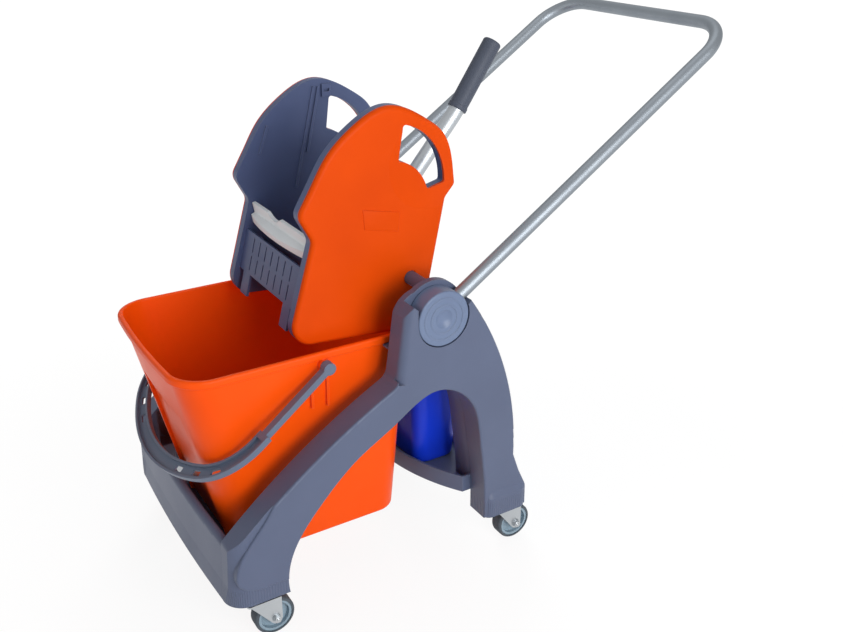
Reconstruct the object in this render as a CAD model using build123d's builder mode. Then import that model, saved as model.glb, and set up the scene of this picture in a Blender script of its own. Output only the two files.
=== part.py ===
from build123d import *
import os
from math import asin, atan2, cos, degrees, hypot, radians, sin

# Single mop bucket trolley with a lever press wringer and a folding push handle.
# Millimetres, Z up, floor at z = 0, bucket end towards -Y, push handle towards +Y.
# The y of every outline is written from the handle's hub axis, and at() shifts it to the part's origin.
os.makedirs("parts", exist_ok=True)

# Clearances
RUN = 0.05  # radial, a shaft that turns in a bore
LOOSE = 0.5  # radial, a shaft that passes through a cover
PLAY = 1.0  # between faces that slide past each other

# Push handle
TUBE_R = 10.0
TUBE_WALL = 1.5
HANDLE_LENGTH = 630.0
HANDLE_HALF = 200.0
HANDLE_BEND = 65.0
HANDLE_TILT = 34.0
HANDLE_FOLD = 105.0

# Handle hubs in the frame's apex
HUB_Z = 433.0
HUB_R = 41.0
HUB_WALL = 11.0
HUB_EDGE = 2.5
RING_RADII = (31.0, 21.0)
RING_WIDTH = 2.4
RING_HEIGHT = 0.5
DIMPLE_R = 14.0
DIMPLE_DEPTH = 4.5
TUBE_ROOT = 16.0
PIVOT_R = 6.0
PIVOT_DEPTH = 18.0
PIVOT_HEAD_R = 11.0
PIVOT_HEAD = 6.0

# Side frames
HUB_COVER = 17.0
FRAME_THICK = 40.0
FRAME_SHELL = 4.0
FRAME_EDGE = 3.0
FOOT_Z = 67.0
FOOT_BLOCK = 48.0
APEX_R = 48.0
APEX_SOLID = 76.0
FACE_CREASE = (-334.5, 97.0)
FACE_TOP = (-332.0, 163.0)
FACE_ROUND = 9.0
LEDGE_MID = (-200.0, 272.0)
COLUMN_FOOT = (-72.0, 349.0)
COLUMN_TOP = (-59.5, 443.0)
SHOULDER = (-48.0, 460.5)
COLUMN_BLEND = 20.0
COLUMN_SOFT = 14.0
APEX_ANGLES = (129, 90, 31)
LEG_MID = (113.5, 313.0)
LEG_LOW = (134.0, 169.0)
ANKLE = ((146.0, 136.0), (161.0, 104.0))
ANKLE_RADII = (40.0, 20.0)
HEEL_Y = 162.0
ARCH = (
    (82.0, FOOT_Z),
    (78.0, 151.0),
    (69.0, 216.0),
    (50.0, 286.0),
    (18.0, 324.0),
    (-33.0, 311.0),
    (-141.0, 249.5),
    (-217.0, 173.0),
    (-240.0, 138.0),
    (-250.0, FOOT_Z),
)
PANEL_STEP = 4.0
PANEL_ROOT = 16.0
PANEL_FOOT = 25.0
PANEL_END = ((-262.0, 236.0), (-302.0, 174.0), (-321.0, 146.0), (-328.0, 123.0))
PANEL_TOE = (-294.0, FOOT_Z + PANEL_FOOT)
PANEL_CUT = (-400.0, -200.0)
BOOT_STEP = 4.0
BOOT_HEIGHT = 34.0
BOOT_SLOPE = 20.0
BOOT_ROUND = 14.0
BRACKET = (-62.0, -24.0)
CORNER_R = 32.0
RIB = 3.0
RIB_LENGTH = 120.0
FRONT_RIBS = ((-236, 205), (-186, 251), (-128, 290), (-70, 320))
REAR_RIBS = (150, 200, 250, 300)
REAR_RIB_Y = 100.0

# Front bumper
BUMPER_FRONT = 343.0
BUMPER_BOW = 5.0
BUMPER_WALL = 5.0
BUMPER_LIP = 12.0
LIP_EDGE = 1.5
LEDGE_HALF = 110.0
LEDGE_BACK = 262.0
LEDGE_THICK = 8.0
GUSSET_PLACES = (-80, 0, 80)
GUSSET_THICK = 4.0
GUSSET_DEPTH = 22.0
GUSSET_HEIGHT = 60.0

# Rear shelf
SHELF_BOTTOM = 100.0
SHELF_TOP = 128.0
SHELF_FLOOR = 5.0
SHELF_WALL = 4.0
SHELF_FRONT = 12.0
SHELF_ENDS = 66.0
SHELF_BACK = 130.0

# Main bucket: rim and bottom each as half width, front and rear
RIM_Z = 396.5
RIM_PLAN = (152.0, -362.0, -8.0)
RIM_BOW = 8.0
BASE_Z = 80.0
BASE_PLAN = (131.0, -292.0, -24.0)
BUCKET_CORNERS = (50.0, 34.0)
BUCKET_WALL = 3.0
BUCKET_FOOT_R = 6.0
BUCKET_LIP = 4.0
LIP_HEIGHT = 12.0
LIP_ROUND = 3.4
RIM_ROUND = 2.0
RECESS_HALF = 82.0
RECESS_TOP = 305.0
RECESS_DEPTH = 8.0
BAIL_Y = -155.0
BAIL_Z = 377.0
BOSS_R = 9.0
BOSS_OUT = 158.5
BAIL_PIN_R = 4.5
STUDS = ((-174.0, 336.0, 24.0), (-150.0, 358.0, 48.0))
STUD_WIDTH = 3.5
STUD_OUT = 152.0

# Bucket bail, drawn in its own plane: x across, s along the arms from the pins
BAIL_DROP = 36.0
BAIL_EYE = 166.0
BAIL_SHOULDER = (173.0, 136.0)
BAIL_CORNER = (125.0, 223.0)
BAIL_REACH = 256.0
BAIL_ARM = 12.0
BAIL_BAND = 23.0
BAIL_THICK = 9.0
BAIL_EYE_R = 9.0
EYE_FLOOR = 2.0
BAIL_RIM = 3.5
BAIL_WEB = 3.5
BAND_START = 0.9
CHANNEL_START = 0.97
SLOT_LENGTH = 17.0
SLOT_WIDTH = 8.0
SLOT_CORNER = 1.5
SLOT_STEPS = (82.0, 122.0, 160.0)

# Small bucket on the rear shelf
PAIL_Z = 330.0
PAIL_PLAN = (104.0, 22.0, 122.0)
PAIL_BASE_PLAN = (90.0, 36.0, 112.0)
PAIL_CORNERS = (22.0, 22.0)
PAIL_BOW = 3.0
PAIL_WALL = 2.5
PAIL_FOOT_R = 5.0
PAIL_LIP = 4.0
PAIL_LIP_HEIGHT = 8.0
PAIL_LIP_ROUND = 1.8

# Wringer side plates and covers
PLATE_IN = 100.0
PLATE_THICK = 13.0
COVER_THICK = 8.0
COVER_EDGE = 6.5
PLATE_DIP = 16.0
PLATE_EDGE = (
    (76.0, 614.0),
    (79.0, 589.0),
    (63.0, 571.0),
    (27.0, RIM_Z),
    (-22.0, RIM_Z),
    (-22.0, RIM_Z - PLATE_DIP),
    (-192.0, 395.0),
    (-148.0, 542.0),
    (-168.0, 580.0),
    (-148.0, 613.0),
)
PLATE_RADII = (9, 12, 6, 4, 6, 30, 16, 18)
PLATE_CROWN = ((-123.0, 653.0), (-83.0, 689.0), (-28.0, 711.5), (34.0, 686.0))
CARRY_TOP = ((-8.0, 684.5), (43.0, 652.0), (61.0, 594.5))
CARRY_LOW = ((33.0, 587.5), (17.5, 616.5), (-14.5, 634.0))
CARRY_ROUND = 4.0
DISH_PLACE = (34.0, 625.0)
DISH_R = 65.0
DISH_DEPTH = 5.0
PLATE_RIBS = (
    ((-34.0, 701.0), (-70.0, 549.0)),
    ((-26.0, 700.0), (-48.5, 602.0)),
    ((-112.0, 651.0), (-127.0, 610.0)),
)
PLATE_RIB = (4.0, 2.5)
CATCH = ((-14.0, 694.0), (15.0, 19.0), 4.0)
CATCH_SLOT = (9.0, 4.0)

# Drain wall, from its top edge to its bottom edge
DRAIN_TOP = (-155.0, 498.0)
DRAIN_FOOT = (-171.0, 438.0)
DRAIN_THICK = 4.0
DRAIN_SLOT = (3.0, 23.0)
DRAIN_PITCH = (22.0, 28.0)
DRAIN_GRID = (7, 2)
DRAIN_TAB = (24.0, 34.0)
DRAIN_TAB_X = 72.0

# Lever, cross axle and press
AXLE_Y = 3.5
AXLE_GAP = 3.0
AXLE_R = 10.0
BUSH_R = 12.0
BUSH_FLANGE_R = 14.0
BUSH_FLANGE = 3.0
BUSH_DEPTH = 8.0
LEVER_R = 12.5
LEVER_WALL = 2.0
LEVER_ROOT = 15.0
LEVER_LENGTH = 247.4
LEVER_TILT = 49.7
LEVER_OFFSET = 12.3
LEVER_SWING = 40.0
LEVER_BEND = 120.0
GRIP_TILT = 56.2
GRIP_START = 8.0
GRIP_LENGTH = 116.0
GRIP_R = 14.5
GRIP_COLLAR_R = 15.5
GRIP_COLLAR = 7.0
GRIP_CAP = 6.0
GRIP_ROUND = (4.0, 0.4, 0.4, 0.9)
SOCKET_HALF = 24.0
SOCKET_R = 16.0
SLEEVE_R = 17.5
SOCKET_LENGTH = 56.0
CRANK_R = 34.8
CRANK_REST = -10.0
CRANK_IN = 76.0
CRANK_THICK = 8.0
CRANK_HUB_R = 17.0
CRANK_END_R = 9.0
PIN_R = 4.0
PIN_END = 95.0
LINK_IN = 86.0
LINK_THICK = 6.0
LINK_END_R = 9.5
LINK_FREE = 5.5
HINGE_Y = -118.0
HINGE_Z = 405.0
BARREL_R = 8.0
PRESS_HALF = 83.0
PRESS_THICK = 6.0
PRESS_HEIGHT = 104.0
PIN_BOSS_R = 8.0
PIN_BOSS = 22.0
LIP_HALF = 97.0
LIP_TOP = 136.0
LIP_NOSE = 14.0
NOSE_BOW = 8.0
NOSE_RISE = (6.0, 10.0, 16.0)
NOSE_ROUND = 1.2
NOTCH_X = -20.0
NOTCH_HALF = 22.0
NOTCH_DEPTH = 8.0
TIE_Y = 17.0
TIE_Z = 410.0
TIE_R = 6.0

# Casters: side, y from the hub, swivel angle at rest
CASTERS = {
    "front_right": (1, -300.0, 0.0),
    "front_left": (-1, -300.0, 0.0),
    "rear_right": (1, 122.0, 0.0),
    "rear_left": (-1, 122.0, 0.0),
}
CASTER_INSET = 20.0
WHEEL_R = 30.0
WHEEL_WIDTH = 22.0
CORE_R = 25.5
CORE_WIDTH = 19.0
CORE_HUB_R = 9.0
CORE_WEB = 5.0
CORE_RIM = 4.0
TRAIL = 27.0
FORK_PLATE = 2.5
FORK_GAP = 2.0
FORK_TOP = 65.0
FORK_END_R = 9.0
CROWN_BACK = 14.0
STEM_R = 5.5
STEM_DEPTH = 38.0
STEM_FLANGE_R = 13.0
WHEEL_AXLE_R = 4.0
WHEEL_AXLE_HEAD_R = 6.5
WHEEL_AXLE_HEAD = 3.0

# Worked out from the sizes above
FRAME_OUT = HANDLE_HALF + HUB_COVER
FRAME_IN = FRAME_OUT - FRAME_THICK
CASTER_X = FRAME_OUT - CASTER_INSET
HUB_FLOOR = FRAME_IN + HUB_WALL
HUB_IN = HUB_FLOOR + PLAY
HANDLE_BACK = HANDLE_LENGTH * cos(radians(HANDLE_TILT)) + TUBE_R
BAIL_FRONT = (
    BAIL_Y
    - (BAIL_REACH + BAIL_BAND / 2) * cos(radians(BAIL_DROP))
    - BAIL_THICK / 2 * sin(radians(BAIL_DROP))
)
HUB_Y = -(HANDLE_BACK + min(BAIL_FRONT, RIM_PLAN[1] - BUCKET_LIP)) / 2
AXLE_Z = HUB_Z + PIVOT_HEAD_R + AXLE_GAP + BUSH_FLANGE_R
AXLE_END = FRAME_IN + BUSH_DEPTH - PLAY
PIN_REACH = BAIL_EYE + BAIL_ARM / 2 - EYE_FLOOR
COVER_IN = PLATE_IN + PLATE_THICK
SHELF_SEAT = SHELF_BOTTOM + 2 * SHELF_FLOOR
FORK_IN = WHEEL_WIDTH / 2 + FORK_GAP


def at(y, z):
    """Place in a side view, with y measured from the hub axis."""
    return (HUB_Y + y, z)


def along(start, angle, length):
    """Point at a length from a start, at an angle above +Y, in a side view."""
    return (start[0] + length * cos(radians(angle)), start[1] + length * sin(radians(angle)))


def lean_plane(y, z, angle):
    """Plane with its x across the trolley and its y rising at an angle above +Y."""
    turn = radians(angle)
    return Plane(origin=(0, HUB_Y + y, z), x_dir=(1, 0, 0), z_dir=(0, -sin(turn), cos(turn)))


def tub_plan(base, rim, share, inset):
    """Half width, front and rear of a tapered tub at a share of its height, drawn in by a wall."""
    half, front, rear = (low + (high - low) * share for low, high in zip(base, rim))
    return half - inset, front + inset, rear - inset


def tub(base, rim, low, high, lift, inset, corners, bow):
    """Tapered tub: its side view crossed with its front view and its bowed front, corners rounded."""
    half_low, front_low, rear_low = tub_plan(base, rim, lift / (high - low), inset)
    half_high, front_high, rear_high = tub_plan(base, rim, 1, inset)
    with BuildPart() as block:
        with BuildSketch(Plane.YZ):
            with BuildLine():
                Polyline(
                    at(front_low - bow, low + lift),
                    at(rear_low, low + lift),
                    at(rear_high, high),
                    at(front_high - bow, high),
                    close=True,
                )
            make_face()
        extrude(amount=half_high, both=True)
        with BuildSketch(Plane.XZ):
            with BuildLine():
                Polyline(
                    (half_low, low + lift),
                    (half_high, high),
                    (-half_high, high),
                    (-half_low, low + lift),
                    close=True,
                )
            make_face()
        extrude(amount=2 * BUMPER_FRONT, both=True, mode=Mode.INTERSECT)
        fall = Vector(0, front_low - front_high, low + lift - high)
        bow_r = (half_high**2 + bow**2) / (2 * bow)
        with BuildSketch(Plane.XY.offset(high)):
            with Locations((0, HUB_Y + front_high + bow_r)):
                Circle(bow_r)
        extrude(amount=fall.length, dir=fall.normalized(), mode=Mode.INTERSECT)
        upright = block.edges().filter_by(lambda e: abs((e @ 1 - e @ 0).Z) > high / 4)
        fillet(upright.sort_by(Axis.Y)[:2], corners[0] - inset)
        upright = block.edges().filter_by(lambda e: abs((e @ 1 - e @ 0).Z) > high / 4)
        fillet(upright.sort_by(Axis.Y)[-2:], corners[1] - inset)
    return block.part


def tub_lip(rim, overhang, corners, bow):
    """Plan of a tub's lip, just outside its rim."""
    half, front, rear = tub_plan(rim, rim, 1, -overhang)
    with BuildSketch() as lip:
        with BuildLine():
            bead = ThreePointArc(
                (-half, HUB_Y + front + bow), (0, HUB_Y + front), (half, HUB_Y + front + bow)
            )
            Polyline(bead @ 1, (half, HUB_Y + rear), (-half, HUB_Y + rear), bead @ 0)
        make_face()
        fillet(lip.vertices().sort_by(Axis.Y)[:2], corners[0] + overhang)
        fillet(lip.vertices().sort_by(Axis.Y)[-2:], corners[1] + overhang)
    return lip.sketch


def lip_edges(piece, top, height):
    """Outer edges of a lip, above and below."""
    edges = []
    for level in (top, top - height):
        flats = piece.faces().filter_by(Axis.Z).filter_by_position(Axis.Z, level - RUN, level + RUN)
        edges.extend(flats.sort_by(SortBy.AREA)[-1].outer_wire().edges())
    return edges


def save(piece, name):
    """Label a finished piece and write it."""
    piece.part.label = name
    export_step(piece.part, f"parts/{name}.step")


# Side frames
HUB = at(0, HUB_Z)
BUMPER_INSIDE = BUMPER_FRONT - BUMPER_BOW
apex = [along(HUB, angle, APEX_R) for angle in APEX_ANGLES]


def frame_silhouette():
    """Side view of a frame without its arch: bumper end, ledge, column, apex, rear leg and feet."""
    with BuildSketch() as silhouette:
        with BuildLine():
            Polyline(at(-BUMPER_INSIDE, FOOT_Z), at(*FACE_CREASE), at(*FACE_TOP))
            ThreePointArc(at(*FACE_TOP), at(*LEDGE_MID), at(*COLUMN_FOOT))
            Line(at(*COLUMN_FOOT), at(*COLUMN_TOP))
            ThreePointArc(at(*COLUMN_TOP), at(*SHOULDER), apex[0])
            ThreePointArc(*apex)
            ThreePointArc(apex[2], at(*LEG_MID), at(*LEG_LOW))
            ankle = [at(y, z) for y, z in ANKLE]
            FilletPolyline(at(*LEG_LOW), *ankle, at(HEEL_Y, FOOT_Z), radius=ANKLE_RADII)
            Line(at(HEEL_Y, FOOT_Z), at(-BUMPER_INSIDE, FOOT_Z))
        make_face()
        for place, radius in ((COLUMN_FOOT, COLUMN_BLEND), (FACE_TOP, FACE_ROUND)):
            y, z = at(*place)
            fillet(silhouette.vertices().sort_by(lambda v: hypot(v.X - y, v.Y - z))[0], radius)
    return silhouette.sketch


def frame_arch(wall):
    """Side view of the space under a frame's arch, grown by a wall."""
    with BuildSketch() as arch:
        with BuildLine(mode=Mode.PRIVATE):
            edge = Spline(*[at(y, z) for y, z in ARCH])
        shares = [n / (len(ARCH) - 1) for n in range(len(ARCH))]
        grown = [edge @ n + (edge % n).rotate(Axis.Z, -90) * wall for n in shares]
        with BuildLine():
            crown = Spline(*grown)
            Polyline(crown @ 1, ((crown @ 1).X, 0), ((crown @ 0).X, 0), crown @ 0)
        make_face()
    return arch.sketch


with BuildPart() as side_frame_right:
    with BuildSketch(Plane.YZ.offset(FRAME_IN)) as outline:
        add(frame_silhouette())
        add(frame_arch(0), mode=Mode.SUBTRACT)
    extrude(amount=FRAME_THICK - PANEL_STEP)

    # Front corner, rounded in plan
    with BuildSketch(Plane.XY.offset(FOOT_Z)):
        with Locations((FRAME_OUT - PANEL_STEP, HUB_Y - BUMPER_INSIDE)):
            Rectangle(CORNER_R, CORNER_R, align=(Align.MAX, Align.MIN))
        with Locations((FRAME_OUT - PANEL_STEP - CORNER_R, HUB_Y - BUMPER_INSIDE + CORNER_R)):
            Circle(CORNER_R, mode=Mode.SUBTRACT)
    extrude(amount=FACE_TOP[1], mode=Mode.SUBTRACT)

    # Raised outer panel with its rounded front end
    with BuildSketch(Plane.YZ.offset(FRAME_OUT - PANEL_ROOT)):
        add(outline.sketch_local)
        with BuildSketch(mode=Mode.SUBTRACT):
            with BuildLine():
                Spline(*[at(y, z) for y, z in (*PANEL_END, PANEL_TOE)])
                Polyline(
                    at(*PANEL_TOE),
                    at(PANEL_CUT[1], PANEL_TOE[1]),
                    at(PANEL_CUT[1], 0),
                    at(PANEL_CUT[0], 0),
                    at(PANEL_CUT[0], PANEL_END[0][1]),
                    at(*PANEL_END[0]),
                )
            make_face()
    extrude(amount=PANEL_ROOT)
    fillet(side_frame_right.faces().sort_by(Axis.X)[-1].edges(), FRAME_EDGE)

    # Soft front edge up the column
    column_way = Vector(0, COLUMN_TOP[0] - COLUMN_FOOT[0], COLUMN_TOP[1] - COLUMN_FOOT[1])
    column_plane = Plane(origin=(FRAME_OUT, *at(*COLUMN_FOOT)), x_dir=(1, 0, 0), z_dir=column_way)
    with BuildSketch(column_plane):
        with Locations((PLAY, -PLAY)):
            Rectangle(COLUMN_SOFT + PLAY, COLUMN_SOFT + PLAY, align=(Align.MAX, Align.MIN))
        with Locations((-COLUMN_SOFT, COLUMN_SOFT)):
            Circle(COLUMN_SOFT, mode=Mode.SUBTRACT)
    extrude(amount=column_way.length + 2 * COLUMN_SOFT, mode=Mode.SUBTRACT)

    # Rear boot round the caster's socket, drawn in above its band
    with BuildSketch(Plane.XY.offset(FOOT_Z)) as boot:
        with Locations((FRAME_IN, HUB_Y + ARCH[0][0])):
            Rectangle(FRAME_THICK + BOOT_STEP, HEEL_Y - ARCH[0][0], align=Align.MIN)
        fillet(boot.vertices().group_by(Axis.X)[-1], BOOT_ROUND)
    extrude(amount=BOOT_HEIGHT)
    with BuildSketch(Plane.XY.offset(FOOT_Z + BOOT_HEIGHT)):
        add(boot.sketch_local)
    extrude(amount=BOOT_SLOPE, taper=degrees(atan2(BOOT_STEP + PANEL_STEP, BOOT_SLOPE)))

    # Hollow inside, with ribs, a solid apex and solid feet
    with BuildSketch(Plane.YZ.offset(FRAME_IN)):
        add(frame_silhouette())
        offset(amount=-FRAME_SHELL, mode=Mode.REPLACE)
        add(frame_arch(FRAME_SHELL), mode=Mode.SUBTRACT)
        with Locations(HUB):
            Circle(APEX_SOLID, mode=Mode.SUBTRACT)
        with Locations(at(0, 0)):
            Rectangle(FRAME_OUT * 4, (FOOT_Z + FOOT_BLOCK) * 2, mode=Mode.SUBTRACT)
        with Locations(at(-BUMPER_INSIDE + CORNER_R, 0)):
            Rectangle(CORNER_R, FRAME_OUT * 2, align=(Align.MAX, Align.CENTER), mode=Mode.SUBTRACT)
        for y, z in FRONT_RIBS:
            with Locations(at(y, z)):
                Rectangle(RIB, RIB_LENGTH, rotation=HANDLE_TILT, mode=Mode.SUBTRACT)
        for z in REAR_RIBS:
            with Locations(at(REAR_RIB_Y, z)):
                Rectangle(RIB_LENGTH, RIB, mode=Mode.SUBTRACT)
    extrude(amount=FRAME_THICK - FRAME_SHELL - PANEL_STEP, mode=Mode.SUBTRACT)

    # Recess for the hub disc, open for the tube from its rear stop to its front stop
    REAR_STOP = along(HUB, HANDLE_TILT - 90, TUBE_R + LOOSE)
    FRONT_STOP = along(HUB, HANDLE_TILT + HANDLE_FOLD + 90, TUBE_R + LOOSE)
    with BuildSketch(Plane.YZ.offset(HUB_FLOOR)):
        with Locations(HUB):
            Circle(HUB_R + PLAY)
            Rectangle(HUB_R + PLAY, HUB_R, align=(Align.MAX, Align.MIN))
        with BuildLine():
            Polyline(
                REAR_STOP,
                along(REAR_STOP, HANDLE_TILT, APEX_R * 2),
                along(HUB, HANDLE_TILT + HANDLE_FOLD / 2, APEX_R * 3),
                along(FRONT_STOP, HANDLE_TILT + HANDLE_FOLD, APEX_R * 2),
                FRONT_STOP,
                close=True,
            )
        make_face()
    extrude(amount=FRAME_THICK, mode=Mode.SUBTRACT)

    # Bracket under the bucket's rim
    with BuildSketch(Plane.YZ.offset(FRAME_IN)):
        with BuildLine():
            Polyline(
                at(BRACKET[0], RIM_Z - LIP_HEIGHT),
                at(BRACKET[1], RIM_Z - LIP_HEIGHT),
                at(BRACKET[1], RIM_Z - LIP_HEIGHT - RIB),
                at(sum(BRACKET) / 2, RIM_Z - LIP_HEIGHT - 6 * RIB),
                at(BRACKET[0], RIM_Z - LIP_HEIGHT - RIB),
                close=True,
            )
        make_face()
    extrude(amount=RIM_PLAN[0] + PLAY - FRAME_IN)

    # Bores for the hub's pivot bolt, the axle's bush and the casters' stems
    with BuildSketch(Plane.YZ.offset(FRAME_IN)):
        with Locations(HUB):
            Circle(PIVOT_R)
    extrude(amount=HUB_WALL, mode=Mode.SUBTRACT)
    with BuildSketch(Plane.YZ.offset(FRAME_IN)):
        with Locations(at(AXLE_Y, AXLE_Z)):
            Circle(BUSH_R)
    extrude(amount=BUSH_DEPTH, mode=Mode.SUBTRACT)
    with BuildSketch(Plane.XY.offset(FOOT_Z)):
        for side, y, turn in CASTERS.values():
            if side > 0:
                with Locations((CASTER_X, HUB_Y + y)):
                    Circle(STEM_R + RUN)
    extrude(amount=STEM_DEPTH + PLAY, mode=Mode.SUBTRACT)
save(side_frame_right, "side_frame_right")

with BuildPart() as side_frame_left:
    mirror(side_frame_right.part, about=Plane.YZ)
save(side_frame_left, "side_frame_left")

# Front bumper: a bowed channel, with a ledge under the bucket
BOW_R = (FRAME_IN**2 + BUMPER_BOW**2) / (2 * BUMPER_BOW)
BOW_AXIS = Axis((0, HUB_Y - BUMPER_FRONT + BOW_R, 0), (0, 0, 1))


def bowed(y, z, wall):
    """Place in the bumper's middle section, which stands out from the side frames' ends by the bow."""
    return at(y - BUMPER_BOW + wall, z)


with BuildPart() as front_bumper:
    with BuildSketch(Plane.YZ):
        with BuildLine():
            FilletPolyline(
                bowed(-BUMPER_INSIDE, FOOT_Z, 0),
                bowed(*FACE_CREASE, 0),
                bowed(*FACE_TOP, 0),
                bowed(*FACE_TOP, BUMPER_LIP),
                bowed(FACE_TOP[0], FACE_TOP[1] - BUMPER_WALL, BUMPER_LIP),
                bowed(FACE_TOP[0], FACE_TOP[1] - BUMPER_WALL, BUMPER_WALL),
                bowed(*FACE_CREASE, BUMPER_WALL),
                bowed(-BUMPER_INSIDE, FOOT_Z, BUMPER_WALL),
                radius=(FACE_ROUND, FACE_ROUND, LIP_EDGE, LIP_EDGE, LIP_EDGE, FACE_ROUND),
            )
            Line(bowed(-BUMPER_INSIDE, FOOT_Z, BUMPER_WALL), bowed(-BUMPER_INSIDE, FOOT_Z, 0))
        make_face()
    revolve(axis=BOW_AXIS, revolution_arc=degrees(asin(FRAME_IN / BOW_R)) + 1)
    split(bisect_by=Plane.YZ.offset(FRAME_IN), keep=Keep.BOTTOM)
    mirror(about=Plane.YZ)
    with BuildSketch(Plane.XY.offset(BASE_Z - LEDGE_THICK)):
        with Locations((0, HUB_Y - LEDGE_BACK)):
            Rectangle(
                2 * LEDGE_HALF,
                BUMPER_FRONT - BUMPER_WALL / 2 - BUMPER_BOW - LEDGE_BACK,
                align=(Align.CENTER, Align.MAX),
            )
    extrude(amount=LEDGE_THICK)
    for x in GUSSET_PLACES:
        with BuildSketch(Plane.YZ.offset(x - GUSSET_THICK / 2)):
            with BuildLine():
                Polyline(
                    at(-BUMPER_FRONT + BUMPER_BOW, BASE_Z),
                    at(-BUMPER_FRONT + BUMPER_BOW + GUSSET_DEPTH, BASE_Z),
                    at(FACE_TOP[0] - BUMPER_WALL / 2, BASE_Z + GUSSET_HEIGHT),
                    close=True,
                )
            make_face()
        extrude(amount=GUSSET_THICK)
save(front_bumper, "front_bumper")

# Rear shelf: a tray with a bowed front
with BuildPart() as rear_shelf:
    with BuildSketch(Plane.XY.offset(SHELF_BOTTOM)) as tray:
        with BuildLine():
            ThreePointArc(
                (-FRAME_IN, HUB_Y + SHELF_ENDS), (0, HUB_Y + SHELF_FRONT), (FRAME_IN, HUB_Y + SHELF_ENDS)
            )
            Polyline(
                (FRAME_IN, HUB_Y + SHELF_ENDS),
                (FRAME_IN, HUB_Y + SHELF_BACK),
                (-FRAME_IN, HUB_Y + SHELF_BACK),
                (-FRAME_IN, HUB_Y + SHELF_ENDS),
            )
        make_face()
    extrude(amount=SHELF_TOP - SHELF_BOTTOM)
    with BuildSketch(Plane.XY.offset(SHELF_SEAT)):
        add(tray.sketch_local)
        offset(amount=-SHELF_WALL, mode=Mode.REPLACE)
    extrude(amount=SHELF_TOP - SHELF_SEAT, mode=Mode.SUBTRACT)
    with BuildSketch(Plane.XY.offset(SHELF_BOTTOM)):
        add(tray.sketch_local)
        offset(amount=-SHELF_WALL, mode=Mode.REPLACE)
    extrude(amount=SHELF_FLOOR, mode=Mode.SUBTRACT)
save(rear_shelf, "rear_shelf")

# Main bucket, with a recess in its front wall that the inside follows
front_slope = (RIM_PLAN[1] - BASE_PLAN[1]) / (RIM_Z - BASE_Z)


def front_recess(wall):
    """Side view of the recess in the bucket's front wall, grown by a wall."""
    back_top = BASE_PLAN[1] + front_slope * (RECESS_TOP - BASE_Z) + RECESS_DEPTH
    back_foot = BASE_PLAN[1] - front_slope * BASE_Z + RECESS_DEPTH
    with BuildSketch() as recess:
        with BuildLine():
            Polyline(
                at(back_foot + wall, 0),
                at(back_top + wall, RECESS_TOP),
                at(back_top - RECESS_DEPTH + wall, RECESS_TOP + RECESS_DEPTH),
                at(2 * RIM_PLAN[1], RECESS_TOP + RECESS_DEPTH),
                at(2 * RIM_PLAN[1], 0),
                close=True,
            )
        make_face()
    return recess.sketch


with BuildPart() as bucket_space:
    add(tub(BASE_PLAN, RIM_PLAN, BASE_Z, RIM_Z, BUCKET_WALL, BUCKET_WALL, BUCKET_CORNERS, RIM_BOW))
    with BuildSketch(Plane.YZ):
        add(front_recess(BUCKET_WALL))
    extrude(amount=RECESS_HALF + BUCKET_WALL, both=True, mode=Mode.SUBTRACT)

with BuildPart() as bucket:
    add(tub(BASE_PLAN, RIM_PLAN, BASE_Z, RIM_Z, 0, 0, BUCKET_CORNERS, RIM_BOW))
    fillet(bucket.edges().group_by(Axis.Z)[0], BUCKET_FOOT_R)
    with BuildSketch(Plane.YZ):
        add(front_recess(0))
    extrude(amount=RECESS_HALF, both=True, mode=Mode.SUBTRACT)
    with BuildSketch(Plane.XY.offset(RIM_Z - LIP_HEIGHT)):
        add(tub_lip(RIM_PLAN, BUCKET_LIP, BUCKET_CORNERS, RIM_BOW))
    extrude(amount=LIP_HEIGHT)
    fillet(lip_edges(bucket, RIM_Z, LIP_HEIGHT), LIP_ROUND)
    for y, top, height in STUDS:
        with BuildSketch(Plane.YZ):
            with Locations(at(y, top)):
                Rectangle(STUD_WIDTH, height, align=(Align.CENTER, Align.MAX))
        extrude(amount=STUD_OUT, both=True)
    for radius, reach in ((BOSS_R, BOSS_OUT), (BAIL_PIN_R, PIN_REACH - LOOSE)):
        with BuildSketch(Plane.YZ):
            with Locations(at(BAIL_Y, BAIL_Z)):
                Circle(radius)
        extrude(amount=reach, both=True)
    add(bucket_space.part, mode=Mode.SUBTRACT)
    fillet(bucket.faces().filter_by(Axis.Z).sort_by(Axis.Z)[-1].inner_wires()[0].edges(), RIM_ROUND)
save(bucket, "bucket")

# Small bucket
with BuildPart() as small_bucket:
    add(tub(PAIL_BASE_PLAN, PAIL_PLAN, SHELF_SEAT, PAIL_Z, 0, 0, PAIL_CORNERS, PAIL_BOW))
    fillet(small_bucket.edges().group_by(Axis.Z)[0], PAIL_FOOT_R)
    with BuildSketch(Plane.XY.offset(PAIL_Z - PAIL_LIP_HEIGHT)):
        add(tub_lip(PAIL_PLAN, PAIL_LIP, PAIL_CORNERS, PAIL_BOW))
    extrude(amount=PAIL_LIP_HEIGHT)
    fillet(lip_edges(small_bucket, PAIL_Z, PAIL_LIP_HEIGHT), PAIL_LIP_ROUND)
    add(
        tub(PAIL_BASE_PLAN, PAIL_PLAN, SHELF_SEAT, PAIL_Z, PAIL_WALL, PAIL_WALL, PAIL_CORNERS, PAIL_BOW),
        mode=Mode.SUBTRACT,
    )
save(small_bucket, "small_bucket")

# Bucket bail: two arms with eyes, and a channel-shaped grip band with slots at its corners
bail_plane = lean_plane(BAIL_Y, BAIL_Z, BAIL_DROP)
BAIL_BEND = (BAIL_SHOULDER[0], -BAIL_SHOULDER[1])
BAIL_TURN = (BAIL_CORNER[0], -BAIL_CORNER[1])


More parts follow.
